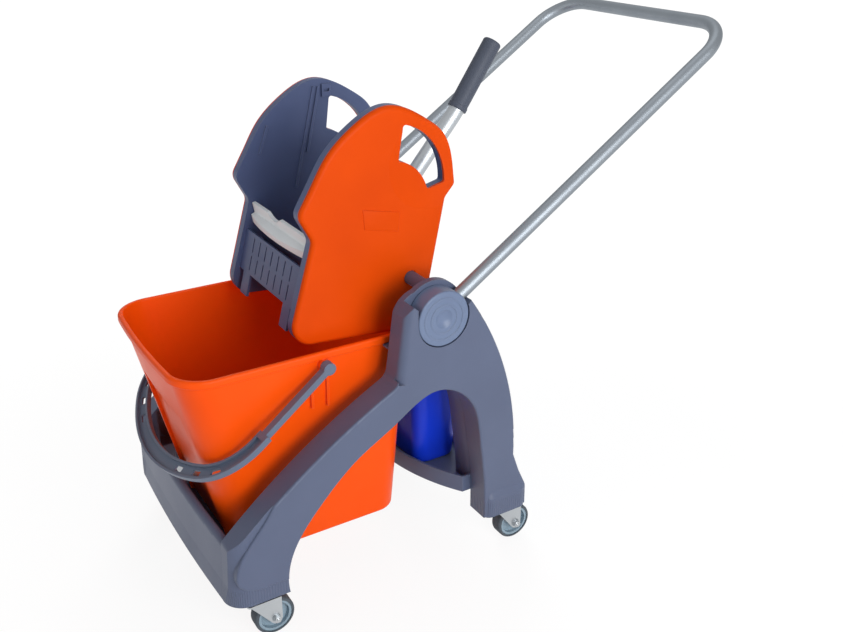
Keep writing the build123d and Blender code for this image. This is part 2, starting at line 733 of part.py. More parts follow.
def bail_line(share):
    """Centre line of the bail, from a share of its arm's length, round the front and back."""
    with BuildLine() as line:
        whole = Line((BAIL_EYE, 0), BAIL_BEND, mode=Mode.PRIVATE)
        arm = Line(whole @ share, BAIL_BEND)
        corner = TangentArc(BAIL_BEND, BAIL_TURN, tangent=arm % 1)
        ThreePointArc(BAIL_TURN, (0, -BAIL_REACH), (-BAIL_TURN[0], BAIL_TURN[1]))
        mirror((arm, corner), about=Plane.YZ)
    return line


with BuildPart() as bail:
    arms = bail_line(0)
    band = bail_line(BAND_START)
    channel = bail_line(CHANNEL_START)
    with BuildSketch(bail_plane.offset(-BAIL_THICK / 2)):
        trace(arms.line, BAIL_ARM)
        trace(band.line, BAIL_BAND)
        front = band.wires()[0]
        for step in (*SLOT_STEPS, *[-step for step in SLOT_STEPS]):
            share = 0.5 + step / front.length
            place, way = front @ share, front % share
            with Locations((place.X, place.Y)):
                RectangleRounded(
                    SLOT_LENGTH,
                    SLOT_WIDTH,
                    SLOT_CORNER,
                    rotation=degrees(atan2(way.Y, way.X)),
                    mode=Mode.SUBTRACT,
                )
    extrude(amount=BAIL_THICK)
    with BuildSketch(bail_plane.offset(-BAIL_THICK / 2 + BAIL_WEB)):
        trace(channel.line, BAIL_BAND - 2 * BAIL_RIM)
    extrude(amount=BAIL_THICK, mode=Mode.SUBTRACT)
    for side in (1, -1):
        with BuildSketch(Plane.YZ.offset(side * BAIL_EYE - BAIL_ARM / 2)):
            with Locations(at(BAIL_Y, BAIL_Z)):
                Circle(BAIL_EYE_R)
        extrude(amount=BAIL_ARM)
    with BuildSketch(Plane.YZ):
        with Locations(at(BAIL_Y, BAIL_Z)):
            Circle(BAIL_PIN_R + RUN)
    extrude(amount=PIN_REACH, both=True, mode=Mode.SUBTRACT)
save(bail, "bail")

# Push handle
handle_plane = lean_plane(0, HUB_Z, HANDLE_TILT)

with BuildPart() as handle_tube:
    with BuildLine(handle_plane) as handle_path:
        FilletPolyline(
            (HANDLE_HALF, TUBE_ROOT),
            (HANDLE_HALF, HANDLE_LENGTH),
            (-HANDLE_HALF, HANDLE_LENGTH),
            (-HANDLE_HALF, TUBE_ROOT),
            radius=HANDLE_BEND,
        )
    with BuildSketch(Plane(origin=handle_path.line @ 0, z_dir=handle_path.line % 0)):
        Circle(TUBE_R)
        Circle(TUBE_R - TUBE_WALL, mode=Mode.SUBTRACT)
    sweep()
save(handle_tube, "handle_tube")

# Hub disc: a thick disc with two raised rings and a dimple, bored for its bolt and its tube
with BuildPart() as hub_disc_right:
    with BuildSketch(Plane.XY.offset(HUB_Z)):
        with Locations((HUB_IN, HUB_Y)):
            Rectangle(FRAME_OUT - RING_HEIGHT - HUB_IN, HUB_R, align=Align.MIN)
        for radius in RING_RADII:
            with Locations((FRAME_OUT - RING_HEIGHT, HUB_Y + radius)):
                Rectangle(RING_HEIGHT, RING_WIDTH, align=(Align.MIN, Align.CENTER))
    revolve(axis=Axis((0, HUB_Y, HUB_Z), (1, 0, 0)))
    rim = hub_disc_right.edges().filter_by(GeomType.CIRCLE).sort_by(SortBy.RADIUS)[-2:].sort_by(Axis.X)[-1]
    fillet(rim, HUB_EDGE)
    dish_r = (DIMPLE_R**2 + DIMPLE_DEPTH**2) / (2 * DIMPLE_DEPTH)
    with Locations((FRAME_OUT - RING_HEIGHT + dish_r - DIMPLE_DEPTH, HUB_Y, HUB_Z)):
        Sphere(dish_r, mode=Mode.SUBTRACT)
    with BuildSketch(Plane.YZ.offset(HUB_IN)):
        with Locations(HUB):
            Circle(PIVOT_R + RUN)
    extrude(amount=PIVOT_DEPTH, mode=Mode.SUBTRACT)
    with BuildSketch(Plane(origin=handle_path.line @ 0, z_dir=handle_path.line % 0)):
        Circle(TUBE_R)
    extrude(amount=HUB_R, mode=Mode.SUBTRACT)
save(hub_disc_right, "hub_disc_right")

with BuildPart() as hub_disc_left:
    mirror(hub_disc_right.part, about=Plane.YZ)
save(hub_disc_left, "hub_disc_left")

with BuildPart() as pivot_bolt_right:
    with BuildSketch(Plane.YZ.offset(FRAME_IN)):
        with Locations(HUB):
            Circle(PIVOT_R)
    extrude(amount=HUB_WALL + PLAY + PIVOT_DEPTH - PLAY)
    with BuildSketch(Plane.YZ.offset(FRAME_IN)):
        with Locations(HUB):
            RegularPolygon(PIVOT_HEAD_R, 6)
    extrude(amount=-PIVOT_HEAD)
save(pivot_bolt_right, "pivot_bolt_right")

with BuildPart() as pivot_bolt_left:
    mirror(pivot_bolt_right.part, about=Plane.YZ)
save(pivot_bolt_left, "pivot_bolt_left")


# Wringer side plates and covers
def plate_outline(axle_clearance):
    """Side view of a wringer plate with its carry hole and the axle's hole, seated on the bucket's rim."""
    with BuildSketch() as plate:
        with BuildLine():
            edge = FilletPolyline(*[at(y, z) for y, z in PLATE_EDGE], radius=PLATE_RADII)
            crown = [at(y, z) for y, z in PLATE_CROWN]
            Spline(edge @ 1, *crown, edge @ 0, tangents=[edge % 1, edge % 0])
        make_face()
        with BuildSketch(mode=Mode.SUBTRACT) as hole:
            with BuildLine():
                top = ThreePointArc(*[at(y, z) for y, z in CARRY_TOP])
                low = ThreePointArc(*[at(y, z) for y, z in CARRY_LOW])
                Line(top @ 1, low @ 0)
                Line(low @ 1, top @ 0)
            make_face()
            fillet(hole.vertices(), CARRY_ROUND)
        with Locations(at(AXLE_Y, AXLE_Z)):
            Circle(AXLE_R + axle_clearance, mode=Mode.SUBTRACT)
    return plate.sketch


with BuildPart() as wringer_plate_right:
    with BuildSketch(Plane.YZ.offset(PLATE_IN)):
        add(plate_outline(RUN))
    extrude(amount=PLATE_THICK)
    with BuildSketch(Plane.YZ.offset(PLATE_IN)):
        with Locations(at(HINGE_Y, HINGE_Z), at(TIE_Y, TIE_Z)):
            Circle(PIN_R)
    extrude(amount=PLATE_THICK, mode=Mode.SUBTRACT)

    # Ribs and a catch on the inner face
    with BuildSketch(Plane.YZ.offset(PLATE_IN)):
        for start, end in PLATE_RIBS:
            with BuildLine() as rib:
                Line(at(*start), at(*end))
            trace(rib.line, PLATE_RIB[0])
    extrude(amount=-PLATE_RIB[1])
    with BuildSketch(Plane.YZ.offset(PLATE_IN)):
        with Locations(at(*CATCH[0])):
            Rectangle(*CATCH[1])
            Rectangle(*CATCH_SLOT, mode=Mode.SUBTRACT)
    extrude(amount=-CATCH[2])
save(wringer_plate_right, "wringer_plate_right")

with BuildPart() as wringer_plate_left:
    mirror(wringer_plate_right.part, about=Plane.YZ)
save(wringer_plate_left, "wringer_plate_left")

with BuildPart() as wringer_cover_right:
    with BuildSketch(Plane.YZ.offset(COVER_IN)):
        add(plate_outline(LOOSE))
    extrude(amount=COVER_THICK)
    outer_face = wringer_cover_right.faces().sort_by(Axis.X)[-1]
    fillet(outer_face.outer_wire().edges(), COVER_EDGE)
    scoop_r = (DISH_R**2 + DISH_DEPTH**2) / (2 * DISH_DEPTH)
    with Locations((COVER_IN + COVER_THICK + scoop_r - DISH_DEPTH, *at(*DISH_PLACE))):
        Sphere(scoop_r, mode=Mode.SUBTRACT)
save(wringer_cover_right, "wringer_cover_right")

with BuildPart() as wringer_cover_left:
    mirror(wringer_cover_right.part, about=Plane.YZ)
save(wringer_cover_left, "wringer_cover_left")

# Drain wall with two rows of slots
drain_rise = hypot(DRAIN_TOP[0] - DRAIN_FOOT[0], DRAIN_TOP[1] - DRAIN_FOOT[1])
drain_dir = (0, (DRAIN_TOP[0] - DRAIN_FOOT[0]) / drain_rise, (DRAIN_TOP[1] - DRAIN_FOOT[1]) / drain_rise)
drain_middle = (DRAIN_TOP[0] + DRAIN_FOOT[0]) / 2, (DRAIN_TOP[1] + DRAIN_FOOT[1]) / 2
drain_plane = Plane(
    origin=(0, HUB_Y + drain_middle[0], drain_middle[1]),
    x_dir=(1, 0, 0),
    z_dir=(0, -drain_dir[2], drain_dir[1]),
)

with BuildPart() as drain_wall:
    with BuildSketch(drain_plane):
        Rectangle(2 * PLATE_IN, drain_rise)
        with GridLocations(*DRAIN_PITCH, *DRAIN_GRID):
            SlotOverall(DRAIN_SLOT[1], DRAIN_SLOT[0], rotation=90, mode=Mode.SUBTRACT)
        with Locations((DRAIN_TAB_X, -drain_rise / 2), (-DRAIN_TAB_X, -drain_rise / 2)):
            Rectangle(*DRAIN_TAB, align=(Align.CENTER, Align.MAX))
    extrude(amount=-DRAIN_THICK)
save(drain_wall, "drain_wall")

# Press plate: a ribbed flap on a hinge rod, with a white lip along its top
press_plane = Plane(
    origin=(0, HUB_Y + HINGE_Y, HINGE_Z),
    x_dir=(1, 0, 0),
    z_dir=(0, -cos(radians(CRANK_REST)), sin(radians(CRANK_REST))),
)
press_side = Plane(origin=press_plane.origin, x_dir=-press_plane.z_dir, z_dir=(1, 0, 0))

with BuildPart() as press_plate:
    with BuildSketch(press_side.offset(-PRESS_HALF)):
        Rectangle(PRESS_THICK, PRESS_HEIGHT, align=(Align.CENTER, Align.MIN))
        Circle(BARREL_R)
        with Locations((0, CRANK_R)):
            Circle(PIN_BOSS_R)
        Circle(PIN_R + RUN, mode=Mode.SUBTRACT)
    extrude(amount=2 * PRESS_HALF)
    for inside in (PRESS_HALF - PIN_BOSS, -PRESS_HALF):
        with BuildSketch(press_side.offset(inside)):
            with Locations((0, CRANK_R)):
                Circle(PIN_R)
        extrude(amount=PIN_BOSS, mode=Mode.SUBTRACT)
save(press_plate, "press_plate")

nose_front = -PRESS_THICK / 2 - LIP_NOSE
nose_r = (LIP_HALF**2 + NOSE_BOW**2) / (2 * NOSE_BOW)

with BuildPart() as press_lip:
    with BuildSketch(press_side.offset(-LIP_HALF)):
        with BuildLine():
            FilletPolyline(
                (-PRESS_THICK / 2, PRESS_HEIGHT),
                (nose_front - NOSE_BOW, PRESS_HEIGHT + NOSE_RISE[0]),
                (nose_front - NOSE_BOW, PRESS_HEIGHT + NOSE_RISE[1]),
                (-PRESS_THICK / 2, PRESS_HEIGHT + NOSE_RISE[2]),
                (-PRESS_THICK / 2, LIP_TOP),
                (PRESS_THICK / 2, LIP_TOP),
                (PRESS_THICK / 2, PRESS_HEIGHT),
                radius=NOSE_ROUND,
            )
            Line((PRESS_THICK / 2, PRESS_HEIGHT), (-PRESS_THICK / 2, PRESS_HEIGHT))
        make_face()
    extrude(amount=2 * LIP_HALF)
    with BuildSketch(Plane(origin=press_plane.origin, x_dir=press_side.x_dir, z_dir=press_side.y_dir)):
        with Locations((nose_front + nose_r, 0)):
            Circle(nose_r)
    extrude(amount=LIP_TOP, mode=Mode.INTERSECT)
    with BuildSketch(press_plane):
        with BuildLine():
            ThreePointArc(
                (NOTCH_X - NOTCH_HALF, LIP_TOP),
                (NOTCH_X, LIP_TOP - NOTCH_DEPTH),
                (NOTCH_X + NOTCH_HALF, LIP_TOP),
            )
            Line((NOTCH_X + NOTCH_HALF, LIP_TOP), (NOTCH_X - NOTCH_HALF, LIP_TOP))
        make_face()
    extrude(amount=PRESS_THICK, both=True, mode=Mode.SUBTRACT)
save(press_lip, "press_lip")

with BuildPart() as press_pin_right:
    with BuildSketch(press_side.offset(PRESS_HALF - PIN_BOSS)):
        with Locations((0, CRANK_R)):
            Circle(PIN_R)
    extrude(amount=PIN_END - PRESS_HALF + PIN_BOSS)
save(press_pin_right, "press_pin_right")

with BuildPart() as press_pin_left:
    mirror(press_pin_right.part, about=Plane.YZ)
save(press_pin_left, "press_pin_left")

with BuildPart() as press_rod:
    with BuildSketch(Plane.YZ.offset(-COVER_IN)):
        with Locations(at(HINGE_Y, HINGE_Z)):
            Circle(PIN_R)
    extrude(amount=2 * COVER_IN)
save(press_rod, "press_rod")

with BuildPart() as rear_tie:
    with BuildSketch(Plane.YZ.offset(-COVER_IN)):
        with Locations(at(TIE_Y, TIE_Z)):
            Circle(PIN_R)
    extrude(amount=2 * COVER_IN)
    with BuildSketch(Plane.YZ.offset(-PLATE_IN)):
        with Locations(at(TIE_Y, TIE_Z)):
            Circle(TIE_R)
    extrude(amount=2 * PLATE_IN)
save(rear_tie, "rear_tie")

# Cross axle and its bushes
with BuildPart() as cross_axle:
    with BuildSketch(Plane.YZ.offset(-AXLE_END)):
        with Locations(at(AXLE_Y, AXLE_Z)):
            Circle(AXLE_R)
    extrude(amount=2 * AXLE_END)
save(cross_axle, "cross_axle")

with BuildPart() as axle_bush_right:
    with BuildSketch(Plane.YZ.offset(FRAME_IN - BUSH_FLANGE)):
        with Locations(at(AXLE_Y, AXLE_Z)):
            Circle(BUSH_FLANGE_R)
            Circle(AXLE_R + RUN, mode=Mode.SUBTRACT)
    extrude(amount=BUSH_FLANGE)
    with BuildSketch(Plane.YZ.offset(FRAME_IN)):
        with Locations(at(AXLE_Y, AXLE_Z)):
            Circle(BUSH_R)
            Circle(AXLE_R + RUN, mode=Mode.SUBTRACT)
    extrude(amount=BUSH_DEPTH)
save(axle_bush_right, "axle_bush_right")

with BuildPart() as axle_bush_left:
    mirror(axle_bush_right.part, about=Plane.YZ)
save(axle_bush_left, "axle_bush_left")

# Lever: socket on the axle, bent tube and grip
lever_plane = lean_plane(*along((AXLE_Y, AXLE_Z), LEVER_TILT + 90, LEVER_OFFSET), LEVER_TILT)
lever_side = Plane(origin=lever_plane.origin, x_dir=lever_plane.y_dir, z_dir=(1, 0, 0))
grip_turn = radians(GRIP_TILT - LEVER_TILT)
GRIP_END = (
    LEVER_LENGTH + (GRIP_START + GRIP_LENGTH) * cos(grip_turn),
    (GRIP_START + GRIP_LENGTH) * sin(grip_turn),
)
TUBE_TIP = (
    LEVER_LENGTH + (GRIP_START + GRIP_LENGTH - GRIP_CAP) * cos(grip_turn),
    (GRIP_START + GRIP_LENGTH - GRIP_CAP) * sin(grip_turn),
)

with BuildPart() as lever_tube:
    with BuildLine(lever_side) as lever_path:
        FilletPolyline((LEVER_ROOT, 0), (LEVER_LENGTH, 0), TUBE_TIP, radius=LEVER_BEND)
    with BuildSketch(Plane(origin=lever_path.line @ 0, z_dir=lever_path.line % 0)):
        Circle(LEVER_R)
        Circle(LEVER_R - LEVER_WALL, mode=Mode.SUBTRACT)
    sweep()
save(lever_tube, "lever_tube")

with BuildPart() as lever_socket:
    with BuildSketch(Plane.YZ.offset(-SOCKET_HALF)):
        with Locations(at(AXLE_Y, AXLE_Z)):
            Circle(SLEEVE_R)
    extrude(amount=2 * SOCKET_HALF)
    with BuildSketch(Plane(origin=lever_plane.origin, z_dir=lever_plane.y_dir)):
        Circle(SOCKET_R)
    extrude(amount=SOCKET_LENGTH)
    with BuildSketch(Plane(origin=lever_path.line @ 0, z_dir=lever_path.line % 0)):
        Circle(LEVER_R)
    extrude(amount=SOCKET_LENGTH, mode=Mode.SUBTRACT)
    with BuildSketch(Plane.YZ.offset(-SOCKET_HALF)):
        with Locations(at(AXLE_Y, AXLE_Z)):
            Circle(AXLE_R)
    extrude(amount=2 * SOCKET_HALF, mode=Mode.SUBTRACT)
save(lever_socket, "lever_socket")

grip_side = Plane(
    origin=lever_side.from_local_coords((LEVER_LENGTH, 0, 0)),
    x_dir=lever_side.from_local_coords((*GRIP_END, 0)) - lever_side.from_local_coords((LEVER_LENGTH, 0, 0)),
    z_dir=(1, 0, 0),
)
grip_end = GRIP_START + GRIP_LENGTH

with BuildPart() as lever_grip:
    with BuildSketch(grip_side):
        with BuildLine():
            FilletPolyline(
                (grip_end, 0),
                (grip_end, GRIP_R),
                (GRIP_START + GRIP_COLLAR, GRIP_R),
                (GRIP_START + GRIP_COLLAR, GRIP_COLLAR_R),
                (GRIP_START, GRIP_COLLAR_R),
                (GRIP_START, LEVER_R),
                radius=GRIP_ROUND,
            )
            Polyline(
                (GRIP_START, LEVER_R),
                (grip_end - GRIP_CAP, LEVER_R),
                (grip_end - GRIP_CAP, 0),
                (grip_end, 0),
            )
        make_face()
    revolve(axis=Axis(grip_side.origin, grip_side.x_dir))
save(lever_grip, "lever_grip")

# Crank arms, their pins and the push links
crank_place = along(at(AXLE_Y, AXLE_Z), CRANK_REST - 90, CRANK_R)
press_place = along(at(HINGE_Y, HINGE_Z), 90 - CRANK_REST, CRANK_R)
link_rise = HINGE_Z - AXLE_Z + CRANK_R * (cos(radians(CRANK_REST)) + cos(radians(CRANK_REST + LEVER_SWING)))
link_slot = (press_place[0], crank_place[1] + link_rise)

with BuildPart() as crank_right:
    with BuildSketch(Plane.YZ.offset(CRANK_IN)):
        with Locations(at(AXLE_Y, AXLE_Z)):
            Circle(CRANK_HUB_R)
        with Locations(crank_place):
            Circle(CRANK_END_R)
        make_hull()
        with Locations(at(AXLE_Y, AXLE_Z)):
            Circle(AXLE_R, mode=Mode.SUBTRACT)
        with Locations(crank_place):
            Circle(PIN_R, mode=Mode.SUBTRACT)
    extrude(amount=CRANK_THICK)
save(crank_right, "crank_right")

with BuildPart() as crank_left:
    mirror(crank_right.part, about=Plane.YZ)
save(crank_left, "crank_left")

with BuildPart() as crank_pin_right:
    with BuildSketch(Plane.YZ.offset(CRANK_IN)):
        with Locations(crank_place):
            Circle(PIN_R)
    extrude(amount=PIN_END - CRANK_IN)
save(crank_pin_right, "crank_pin_right")

with BuildPart() as crank_pin_left:
    mirror(crank_pin_right.part, about=Plane.YZ)
save(crank_pin_left, "crank_pin_left")

with BuildPart() as link_right:
    with BuildSketch(Plane.YZ.offset(LINK_IN)):
        with Locations(crank_place):
            Circle(LINK_END_R)
        with Locations(link_slot):
            SlotOverall(2 * (LINK_END_R + LINK_FREE), 2 * LINK_END_R, rotation=90)
        make_hull()
        with Locations(crank_place):
            Circle(PIN_R + RUN, mode=Mode.SUBTRACT)
        with Locations(link_slot):
            SlotOverall(2 * (PIN_R + LINK_FREE), 2 * (PIN_R + LOOSE), rotation=90, mode=Mode.SUBTRACT)
    extrude(amount=LINK_THICK)
save(link_right, "link_right")

with BuildPart() as link_left:
    mirror(link_right.part, about=Plane.YZ)
save(link_left, "link_left")

# Casters
for place, (side, y, turn) in CASTERS.items():
    across = Vector(cos(radians(turn)), sin(radians(turn)), 0)
    back = Vector(-sin(radians(turn)), cos(radians(turn)), 0)
    stem_foot = Vector(side * CASTER_X, HUB_Y + y, 0)
    wheel_centre = stem_foot + back * TRAIL + Vector(0, 0, WHEEL_R)
    fork_side = Plane(origin=stem_foot, x_dir=back, z_dir=across)
    fork_plan = Plane(origin=stem_foot, x_dir=across, z_dir=(0, 0, 1))
    wheel_half = Plane(origin=wheel_centre, x_dir=across, z_dir=-back)
    wheel_axis = Axis(wheel_centre, across)

    with BuildPart() as fork:
        with BuildSketch(fork_plan.offset(FORK_TOP - FORK_PLATE)):
            with Locations((0, -CROWN_BACK)):
                RectangleRounded(
                    2 * (FORK_IN + FORK_PLATE),
                    CROWN_BACK + TRAIL + FORK_END_R,
                    FORK_PLATE * 2,
                    align=(Align.CENTER, Align.MIN),
                )
            Circle(STEM_R, mode=Mode.SUBTRACT)
        extrude(amount=FORK_PLATE)
        for leg in (FORK_IN, -FORK_IN - FORK_PLATE):
            with BuildSketch(fork_side.offset(leg)):
                with Locations((-FORK_END_R, FORK_TOP - FORK_PLATE)):
                    Rectangle(TRAIL + 2 * FORK_END_R, FORK_PLATE, align=Align.MIN)
                with Locations((TRAIL, WHEEL_R)):
                    Circle(FORK_END_R)
                make_hull()
                with Locations((TRAIL, WHEEL_R)):
                    Circle(WHEEL_AXLE_R, mode=Mode.SUBTRACT)
            extrude(amount=FORK_PLATE)
    save(fork, f"caster_fork_{place}")

    with BuildPart() as stem:
        with BuildSketch(fork_plan.offset(FORK_TOP - FORK_PLATE)):
            Circle(STEM_R)
        extrude(amount=FOOT_Z + STEM_DEPTH - FORK_TOP + FORK_PLATE)
        with BuildSketch(fork_plan.offset(FORK_TOP)):
            Circle(STEM_FLANGE_R)
        extrude(amount=FOOT_Z - FORK_TOP - LOOSE)
    save(stem, f"caster_stem_{place}")

    with BuildPart() as wheel_axle:
        with BuildSketch(wheel_half):
            with BuildLine():
                Polyline(
                    (-FORK_IN - FORK_PLATE - WHEEL_AXLE_HEAD, 0),
                    (-FORK_IN - FORK_PLATE - WHEEL_AXLE_HEAD, WHEEL_AXLE_HEAD_R),
                    (-FORK_IN - FORK_PLATE, WHEEL_AXLE_HEAD_R),
                    (-FORK_IN - FORK_PLATE, WHEEL_AXLE_R),
                    (FORK_IN + FORK_PLATE, WHEEL_AXLE_R),
                    (FORK_IN + FORK_PLATE, WHEEL_AXLE_HEAD_R),
                    (FORK_IN + FORK_PLATE + WHEEL_AXLE_HEAD, WHEEL_AXLE_HEAD_R),
                    (FORK_IN + FORK_PLATE + WHEEL_AXLE_HEAD, 0),
                    close=True,
                )
            make_face()
        revolve(axis=wheel_axis)
    save(wheel_axle, f"caster_axle_{place}")

    with BuildPart() as core:
        with BuildSketch(wheel_half):
            with Locations((0, WHEEL_AXLE_R + RUN)):
                Rectangle(WHEEL_WIDTH, CORE_HUB_R - WHEEL_AXLE_R - RUN, align=(Align.CENTER, Align.MIN))
            with Locations((0, CORE_HUB_R)):
                Rectangle(CORE_WEB, CORE_R - CORE_HUB_R, align=(Align.CENTER, Align.MIN))
            with Locations((0, CORE_R)):
                Rectangle(CORE_WIDTH, CORE_RIM, align=(Align.CENTER, Align.MAX))
        revolve(axis=wheel_axis)
    save(core, f"wheel_core_{place}")

    with BuildPart() as tyre:
        with BuildSketch(wheel_half) as tread:
            with Locations((0, CORE_R)):
                Rectangle(WHEEL_WIDTH, WHEEL_R - CORE_R, align=(Align.CENTER, Align.MIN))
            fillet(tread.vertices().group_by(Axis.Y)[-1], WHEEL_R - CORE_R - PLAY)
        revolve(axis=wheel_axis)
    save(tyre, f"wheel_tyre_{place}")
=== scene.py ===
# %% [markdown]
# # A mop bucket trolley
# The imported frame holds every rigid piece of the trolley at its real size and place, in metres. Nothing is
# moved here. This lesson lights the trolley, gives each piece its finish, and models the small mouldings
# that a person would notice from a step away.

# %% Load the frame
from math import cos, pi, radians, sin

import bpy
from mathutils import Matrix, Vector


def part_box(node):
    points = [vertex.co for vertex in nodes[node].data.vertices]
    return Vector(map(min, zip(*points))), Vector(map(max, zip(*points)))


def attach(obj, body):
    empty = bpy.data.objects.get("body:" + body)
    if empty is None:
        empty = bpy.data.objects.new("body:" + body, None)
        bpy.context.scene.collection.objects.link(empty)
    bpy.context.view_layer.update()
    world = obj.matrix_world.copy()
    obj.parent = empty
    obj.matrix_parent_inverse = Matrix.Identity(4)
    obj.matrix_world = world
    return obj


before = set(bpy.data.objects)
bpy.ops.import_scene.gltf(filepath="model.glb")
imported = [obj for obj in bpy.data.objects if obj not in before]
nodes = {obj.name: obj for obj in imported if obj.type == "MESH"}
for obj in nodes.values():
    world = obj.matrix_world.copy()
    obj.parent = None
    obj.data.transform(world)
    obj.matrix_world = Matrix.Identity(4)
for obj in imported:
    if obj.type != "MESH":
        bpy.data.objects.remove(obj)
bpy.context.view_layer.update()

# %% [markdown]
# ## The camera
# The picture was taken from the trolley's front right corner, a little above the wringer. A tracking
# constraint could aim the camera, but it leaves the roll to chance. Here the camera's place, heading, pitch
# and roll are set as a matrix whose columns are right, up and back.

# %% Place the camera
IMAGE_WIDTH = 843
FOCAL_PIXELS = 951.0
SENSOR_WIDTH = 36.0
FAR_CLIP = 50.0
HEADING, PITCH, ROLL = radians(58.06), radians(24.62), radians(0.34)
EYE = Vector((1.2085, -0.7347, 0.9825))

back = Vector((sin(HEADING) * cos(PITCH), -cos(HEADING) * cos(PITCH), sin(PITCH)))
level = Vector((cos(HEADING), sin(HEADING), 0))
rise = back.cross(level)
right = level * cos(ROLL) + rise * sin(ROLL)
up = rise * cos(ROLL) - level * sin(ROLL)

camera = bpy.data.objects.new("camera", bpy.data.cameras.new("camera"))
bpy.context.scene.collection.objects.link(camera)
camera.data.sensor_width = SENSOR_WIDTH
camera.data.lens = SENSOR_WIDTH * FOCAL_PIXELS / IMAGE_WIDTH
camera.data.clip_end = FAR_CLIP
camera.matrix_world = Matrix.Translation(EYE) @ Matrix((right, up, back)).transposed().to_4x4()
bpy.context.scene.camera = camera
print("camera: lens", round(camera.data.lens, 2), "mm at", tuple(round(v, 3) for v in EYE))

# %% [markdown]
# ## Writing shaders as sums
# A shader is easier to read as an expression than as a list of links. Wire holds one output socket and
# turns plus, minus and times into Math nodes, in both orders, so that 1 - mask works.


# %% Arithmetic on sockets
class Wire:
    """One output socket that can be used in arithmetic."""

    def __init__(self, tree, socket):
        self.tree = tree
        self.socket = socket

    def math(self, operation, first, second):
        made = self.tree.nodes.new("ShaderNodeMath")
        made.operation = operation
        for place, value in zip(made.inputs, (first, second)):
            plug(self.tree, place, value)
        return Wire(self.tree, made.outputs[0])

    def __add__(self, other):
        return self.math("ADD", self, other)

    def __radd__(self, other):
        return self.math("ADD", other, self)

    def __sub__(self, other):
        return self.math("SUBTRACT", self, other)

    def __rsub__(self, other):
        return self.math("SUBTRACT", other, self)

    def __mul__(self, other):
        return self.math("MULTIPLY", self, other)

    def __rmul__(self, other):
        return self.math("MULTIPLY", other, self)


def plug(tree, place, value):
    """Link a wire to an input socket, or set the socket's own value."""
    if isinstance(value, Wire):
        tree.links.new(value.socket, place)
    else:
        place.default_value = value


print("sockets can be added, subtracted and multiplied")

# %% [markdown]
# ## A finish and its nodes
# Shader owns a node tree, and its node method adds any node that isn't arithmetic: first the node's
# settings, then what goes into its sockets. Finish is a Shader with one Principled surface. Its other
# methods are the few patterns that every recipe below is made of. All of them read Object coordinates, in
# metres, so a grain has the same size on a large piece as on a small one.


# %% Node helpers
class Shader:
    """A node tree that nodes are added to."""

    def __init__(self, tree):
        self.tree = tree

    def node(self, kind, settings=None, inputs=None, output=0):
        """Add a node and give one of its outputs."""
        made = self.tree.nodes.new(kind)
        for key, value in (settings or {}).items():
            setattr(made, key, value)
        for key, value in (inputs or {}).items():
            plug(self.tree, made.inputs[key], value)
        return Wire(self.tree, made.outputs[output])


SOCKETS = {
    "base_color": "Base Color",
    "roughness": "Roughness",
    "metallic": "Metallic",
    "specular_ior_level": "Specular IOR Level",
}
BEVEL_SAMPLES = 4


class Finish(Shader):
    """A material with one Principled surface, built from nodes."""

    def __init__(self, name):
        self.material = bpy.data.materials.new(name)
        self.material.use_nodes = True
        super().__init__(self.material.node_tree)
        self.surface = self.tree.nodes["Principled BSDF"]
        self.place = self.node("ShaderNodeTexCoord", output="Object")

    def noise(self, size, detail=2.0, roughness=0.5, place=None):
        """Cloudy pattern whose lumps are about size metres across."""
        sockets = {"Vector": place or self.place, "Scale": 1 / size, "Detail": detail, "Roughness": roughness}
        return self.node("ShaderNodeTexNoise", inputs=sockets)

    def ramp(self, value, low, high):
        """Value stretched so that low becomes 0 and high becomes 1, clamped."""
        sockets = {"Value": value, "From Min": low, "From Max": high}
        return self.node("ShaderNodeMapRange", {"clamp": True}, sockets)

    def blend(self, share, first, second):
        """Colour that goes from first to second with share. A Mix node's colour sockets are 6, 7 and 2."""
        return self.node("ShaderNodeMix", {"data_type": "RGBA"}, {0: share, 6: first, 7: second}, 2)

    def stretch(self, scale):
        """Object coordinates scaled along each axis, for streaks."""
        return self.node("ShaderNodeMapping", inputs={"Vector": self.place, "Scale": scale})

    def bump(self, height, distance, normal=None):
        """Fine relief, on top of another normal where one is given."""
        sockets = {"Height": height, "Distance": distance}
        if normal:
            sockets["Normal"] = normal
        plug(self.tree, self.surface.inputs["Normal"], self.node("ShaderNodeBump", inputs=sockets))

    def soft_edge(self, radius):
        """Normal that turns round an edge over a radius, and how far it leans from the flat face."""
        rounded = self.node("ShaderNodeBevel", {"samples": BEVEL_SAMPLES}, {"Radius": radius})
        flat = self.node("ShaderNodeNewGeometry", output="Normal")
        sides = {0: rounded, 1: flat}
        facing = self.node("ShaderNodeVectorMath", {"operation": "DOT_PRODUCT"}, sides, "Value")
        return rounded, 1 - facing

    def set(self, **values):
        """Set or link sockets of the surface."""
        for key, value in values.items():
            plug(self.tree, self.surface.inputs[SOCKETS[key]], value)


def colour(red, green, blue):
    """Linear colour from the 0 to 255 values of a colour picker."""
    return tuple(linear(v / 255) for v in (red, green, blue)) + (1.0,)


def linear(value):
    """Linear light from an sRGB value, by the standard's own curve."""
    return value / 12.92 if value <= 0.04045 else ((value + 0.055) / 1.055) ** 2.4


print("node helpers ready, with", len(SOCKETS), "sockets to set")

# %% [markdown]
# ## Ridged feet
# Round each foot of the frame runs a band of fine upright ridges. They are too shallow to be worth a mesh,
# so they go into the bump. A sine wave along x + y runs on round the corners, and it only shows low down
# and at the sides, where the feet are.

# %% Foot ridges
RIDGE_PITCH = 0.0042
RIDGE_DEPTH = 0.0003
RIDGE_TOP = 0.094
RIDGE_SIDE = 0.172
RIDGE_FADE = 0.002


